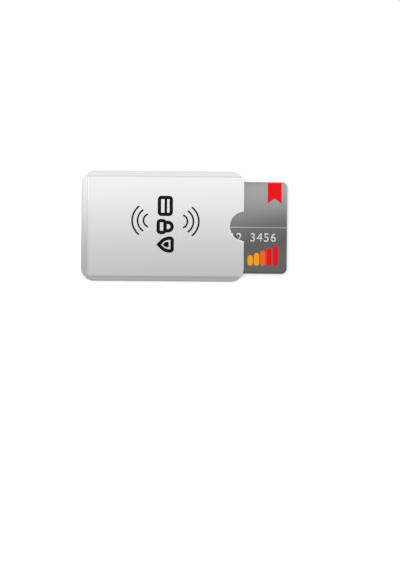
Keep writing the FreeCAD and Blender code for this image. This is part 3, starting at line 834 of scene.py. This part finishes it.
class CardFace(bpy.types.Operator):
    """Makes the card's printed and laminated face, with the chip's window"""

    bl_idname = "card_sleeve.card_face"
    bl_label = "Card face"

    def execute(self, context):
        sizes = context.scene.sleeve_card
        sharp = math.radians(57)
        cutter_tall = 2 * MM
        face = start_plate("card_face", CARD_LENGTH, CARD_WIDTH, CARD_MIDDLE, CARD_LOW.z)
        round_corners(face, sizes.corner)
        thicken(face, CARD_HIGH.z - CARD_LOW.z)
        chip = CHIP_HIGH - CHIP_LOW
        window = start_plate("chip_window", chip.x + 2 * sizes.chip_gap, chip.y + 2 * sizes.chip_gap,
                             (CHIP_LOW + CHIP_HIGH) / 2, CARD_LOW.z - cutter_tall / 2)
        round_corners(window, sizes.chip_corner + sizes.chip_gap, segments=8)
        thicken(window, cutter_tall)
        cut_away(face, window)
        bpy.ops.object.mode_set(mode="EDIT")
        select(face, "EDGE", lambda edge: all(point.co.z > CARD_TOP - NEAR for point in edge.verts)
               and edge.is_manifold and edge.calc_face_angle() > sharp)
        bpy.ops.mesh.bevel(offset=sizes.edge, segments=2, affect="EDGES")
        leave_edit(face)
        face.data.materials.append(laminated_print())
        settle(face, "card", "card_front_overlay", smooth=15)
        return {"FINISHED"}


NUMBER = "1234 5678 9012 3456"

# A digit's height as a share of its font's size
DIGIT_SHARE = 0.729


def number_line(sizes, name, level, rise, weight, shift):
    """The number's digits as one mesh: their foot's level, rise, extra weight and shift."""
    digits = []
    most_bevel = 0.05 * MM
    last = CARD_HIGH.x - sizes.number_end - sizes.digit_pitch / 2
    foot = CARD_MIDDLE.y - sizes.number_drop - sizes.digit_height / 2
    for place, digit in enumerate(NUMBER):
        if digit == " ":
            continue
        along = last - (len(NUMBER) - 1 - place) * sizes.digit_pitch
        bpy.ops.object.text_add(location=(along + shift[0], foot + shift[1], level))
        set_up(bpy.context.object.data, body=digit, align_x="CENTER", size=sizes.digit_height / DIGIT_SHARE,
               offset=weight, extrude=rise / 2, bevel_depth=min(rise / 3, most_bevel), bevel_resolution=1,
               resolution_u=4)
        bpy.ops.object.convert(target="MESH")
        digits.append(bpy.context.object)
    line = joined(digits, name)
    bpy.ops.object.transform_apply(location=True, rotation=True, scale=True)
    bpy.ops.object.mode_set(mode="EDIT")
    select_all()
    bpy.ops.mesh.remove_doubles(threshold=NEAR)
    bpy.ops.mesh.normals_make_consistent(inside=False)
    leave_edit(line)
    return line


class CardNumber(bpy.types.Operator):
    """Raises the card's number, with its silver tipping and a painted shadow round it"""

    bl_idname = "card_sleeve.card_number"
    bl_label = "Card number"

    def execute(self, context):
        sizes = context.scene.sleeve_card
        # A painted shadow of dark ink round the digits, shifted a little left and down, which sets them off
        # from the print
        dark = grained("offset_ink_black", "#0C0B0B", grain=0.5, spread=0.2, roughness=0.6, specular=0.2)
        digit_shadow = number_line(sizes, "number_ground", level=CARD_TOP, rise=0.02 * MM, weight=0.2 * MM,
                             shift=(-0.3 * MM, -0.05 * MM))
        digit_shadow.data.materials.append(dark)
        settle(digit_shadow, "card")
        # Hot-stamped foil on the crest of each raised digit: bright silver, a little crazed at 0.3 mm
        silver = grained("hot_stamped_silver_foil", context.scene.sleeve_finishes.digits, grain=0.3,
                         spread=0.12, roughness=0.3, metallic=1.0)
        raised = number_line(sizes, "number_digits", level=CARD_TOP + sizes.digit_rise / 2,
                             rise=sizes.digit_rise, weight=0.07 * MM, shift=(0, 0))
        raised.data.materials.append(silver)
        settle(raised, "card", smooth=40)
        return {"FINISHED"}


class CardMarks(bpy.types.Operator):
    """Prints a row of rising bars in warm colours and a red ribbon on the card"""

    bl_idname = "card_sleeve.card_marks"
    bl_label = "Card marks"

    def execute(self, context):
        sizes = context.scene.sleeve_card
        finishes = context.scene.sleeve_finishes
        # Offset inks under gloss, with a halftone grain too fine to show, drawn at 0.5 mm
        red, orange, amber = (
            grained("offset_ink_" + name, getattr(finishes, name), grain=0.5, spread=0.06, roughness=0.45,
                    specular=0.1) for name in ("red", "orange", "amber"))
        inks = (amber, amber, orange, red, red)
        level = CARD_TOP - INK_SINK
        bars = []
        for place, tall in enumerate(spaced(sizes.bar_lowest, sizes.bar_highest, len(inks))):
            middle = (CARD_HIGH.x - sizes.bar_end + place * sizes.bar_pitch,
                      CARD_LOW.y + sizes.bar_foot + tall / 2)
            bar = start_plate("bar", sizes.bar_width, tall, middle, level, [inks[place]])
            round_corners(bar, sizes.bar_corner, segments=10)
            thicken(bar, sizes.ink)
            bars.append(bar)
        settle(joined(bars, "card_bars"), "card")
        along = CARD_HIGH.x - sizes.ribbon_end
        top = CARD_HIGH.y - sizes.ribbon_top
        tail = top - sizes.ribbon_length
        ribbon = start_plate("card_ribbon", sizes.ribbon_width, sizes.ribbon_length,
                             (along, (top + tail) / 2), level, [red])
        select(ribbon, "EDGE", lambda edge: all(abs(point.co.y - tail) < NEAR for point in edge.verts))
        bpy.ops.mesh.subdivide(number_cuts=1)
        select(ribbon, "VERT", lambda point: abs(point.co.y - tail) < NEAR
               and abs(point.co.x - along) < NEAR)
        bpy.ops.transform.translate(value=(0, sizes.ribbon_tail, 0))
        thicken(ribbon, sizes.ink)
        settle(ribbon, "card")
        return {"FINISHED"}


class CardLayers(bpy.types.Operator):
    """Gives the card's sheets, antenna, back, stripe and panel their finishes"""

    bl_idname = "card_sleeve.card_layers"
    bl_label = "Card layers"

    def execute(self, context):
        # Calendered sheet, printed grey, with a faint orange peel 0.6 mm across
        sheet = grained("rigid_vinyl_sheet_printed", "#7C7B79", grain=0.6, spread=0.08, roughness=0.45)
        coat("card_front_sheet", sheet)
        coat("card_back_sheet", sheet)
        # The white core sheet, which shows as a pale line in the card's edge
        coat("card_inlay", grained("rigid_vinyl_sheet_white", "#E4E3DF", grain=0.6, spread=0.05,
                                   roughness=0.5))
        # Etched copper, bright with a warm tarnish in patches of 2 mm
        coat("antenna_coil", grained("copper_foil_etched", "#C77B4E", grain=2.0, spread=0.2, roughness=0.3,
                                     metallic=1.0))
        # The back's overlay: the same gloss over plain grey
        coat("card_back_overlay", grained("printed_card_back_laminated", "#8E8D8B", grain=0.7, spread=0.06,
                                          roughness=0.32, gloss=0.3))
        coat("magnetic_stripe", magnetic_coating())
        coat("signature_panel", writable_coating())
        return {"FINISHED"}


class Chip(bpy.types.Operator):
    """Gives the chip's pads, tape, glue, resin and die their finishes"""

    bl_idname = "card_sleeve.chip"
    bl_label = "Chip"

    def execute(self, context):
        # Gold over nickel over copper: warm and satin, with fine wear from readers about 0.4 mm across
        coat("chip_contacts", grained("copper_gold_plated", context.scene.sleeve_finishes.gold, grain=0.4,
                                      spread=0.05, roughness=0.24, metallic=1.0))
        # Woven glass in green-brown resin, seen in the channels between the pads
        coat("chip_carrier", grained("glass_epoxy_tape", "#5E5A3C", grain=0.4, spread=0.2, roughness=0.5,
                                     relief=0.008))
        # Straw-coloured hot-melt tape
        coat("chip_adhesive", grained("hot_melt_tape", "#CDBE9A", grain=0.8, spread=0.1, roughness=0.45,
                                      relief=0.008))
        # Black moulding resin with a fine mould texture
        coat("chip_resin", grained("epoxy_resin_moulded", "#181818", grain=0.3, spread=0.3, roughness=0.55,
                                   relief=0.006))
        # Polished silicon, blue-grey and mirror-like
        coat("chip_die", grained("silicon_polished", "#5B606B", grain=0.5, spread=0.1, roughness=0.12,
                                 metallic=0.6, relief=0.0002))
        return {"FINISHED"}


def paper_floor(stage):
    """Plain matt white paper."""
    # Where it is looked at, it is lifted to white, by less near the softbox, so that it keeps the shadow.
    # The lift goes by the place across, from 1 m before the sleeve's middle to 1 m beyond it.
    material, shader, add, place = new_material("matt_paper_floor")
    white = stage.floor_glow
    rays = add("LightPath", {})
    seen = add("Math", {0: rays.outputs["Is Camera Ray"], 1: rays.outputs["Is Glossy Ray"]},
               operation="MAXIMUM")
    looked_at = add("Math", {0: seen, 1: rays.outputs["Is Transmission Ray"]}, operation="MAXIMUM")
    x, y = add("SeparateXYZ", {"Vector": place}).outputs[:2]
    across = add("Math", {0: y, 1: 0.5, 2: 0.5}, operation="MULTIPLY_ADD")
    lift = add("ValToRGB", {"Fac": across}, stops=[
        (0.0, white), (0.375, white), (0.5, 0.105), (0.57, 0.065), (0.75, white)])
    along = add("Math", {0: x}, operation="ABSOLUTE")
    ends = add("MapRange", {"Value": along, "From Min": 0.3, "From Max": 0.7, "To Max": white})
    most = add("Math", {0: lift, 1: ends}, operation="MAXIMUM")
    glow = add("Math", {0: looked_at, 1: most}, operation="MULTIPLY")
    wire(shader, {
        "Base Color": linear("#FCFCFC"), "Roughness": 0.9, "Specular IOR Level": 0.0,
        "Emission Color": tint(1.0), "Emission Strength": glow})
    return material


def even_sky(stage):
    """A world that is dimmest straight above, and lighter beyond the upper edge and the closed end."""
    world = bpy.data.worlds.new("even_sky")
    world.use_nodes = True
    add = functools.partial(add_node, world.node_tree)
    around = add("TexCoord", {})
    height = add("SeparateXYZ", {"Vector": around.outputs["Generated"]})
    level = add("ValToRGB", {"Fac": height.outputs["Z"]}, stops=[
        (0.0, 0.73), (0.12, 0.75), (0.35, 0.83), (0.85, 0.79), (0.96, 0.63), (1.0, stage.sky)])
    slope = add("VectorMath", {0: around.outputs["Generated"], 1: (-0.2, 0.25, 0.0)},
                operation="DOT_PRODUCT")
    light = add("Math", {0: level, 1: slope}, operation="ADD")
    wire(world.node_tree.nodes["Background"], {"Color": tint(1.0), "Strength": light})
    return world


class Stage(bpy.types.Operator):
    """Sets up the floor, the light and the camera"""

    bl_idname = "card_sleeve.stage"
    bl_label = "Stage"

    def execute(self, context):
        scene = context.scene
        stage = scene.sleeve_stage
        scene.view_settings.view_transform = "Standard"
        floor = start_plate("floor", stage.floor_side, stage.floor_side, (0, 0), -stage.floor_drop,
                            [paper_floor(stage)])
        leave_edit(floor)
        scene.world = even_sky(stage)
        light = set_up(bpy.data.lights.new("softbox", "AREA"), shape="RECTANGLE", size=stage.softbox_along,
                       size_y=stage.softbox_across, energy=stage.softbox)
        softbox = bpy.data.objects.new("softbox", light)
        softbox.location = (0, stage.softbox_beyond, stage.softbox_height)
        scene.collection.objects.link(softbox)
        camera = bpy.data.objects.new("camera", bpy.data.cameras.new("camera"))
        camera.data.lens = stage.lens
        camera.location = (stage.aim_x, -stage.aim_below, PANEL_TOP + stage.distance)
        camera.rotation_euler = (0, 0, stage.roll)
        scene.collection.objects.link(camera)
        scene.camera = camera
        return {"FINISHED"}


GROUPS = {
    "sleeve_walls": SleeveWalls,
    "sleeve_print": SleevePrint,
    "sleeve_card": CardSizes,
    "sleeve_finishes": Finishes,
    "sleeve_stage": StageSettings,
}
STEPS = (FrontWall, BackWall, EdgeSeals, WaveArcs, Pictograms, CardFace, CardNumber, CardMarks, CardLayers,
         Chip, Stage)


class SleevePanel(bpy.types.Panel):
    """Lists the sleeve's sizes, colours and steps"""

    bl_idname = "VIEW3D_PT_card_sleeve"
    bl_label = "Card sleeve"
    bl_space_type = "VIEW_3D"
    bl_region_type = "UI"
    bl_category = "Card sleeve"

    def draw(self, context):
        for step in STEPS:
            self.layout.operator(step.bl_idname)
        for group, kind in GROUPS.items():
            box = self.layout.box()
            box.label(text=kind.__doc__)
            for name in kind.__annotations__:
                box.prop(getattr(context.scene, group), name)


def register():
    for kind in (*GROUPS.values(), *STEPS, SleevePanel):
        bpy.utils.register_class(kind)
    for group, kind in GROUPS.items():
        setattr(bpy.types.Scene, group, bpy.props.PointerProperty(type=kind))


def unregister():
    for group in GROUPS:
        delattr(bpy.types.Scene, group)
    for kind in (SleevePanel, *STEPS, *GROUPS.values()):
        bpy.utils.unregister_class(kind)


def main():
    register()
    for step in STEPS:
        group, name = step.bl_idname.split(".")
        getattr(getattr(bpy.ops, group), name)()


if __name__ == "__main__":
    main()
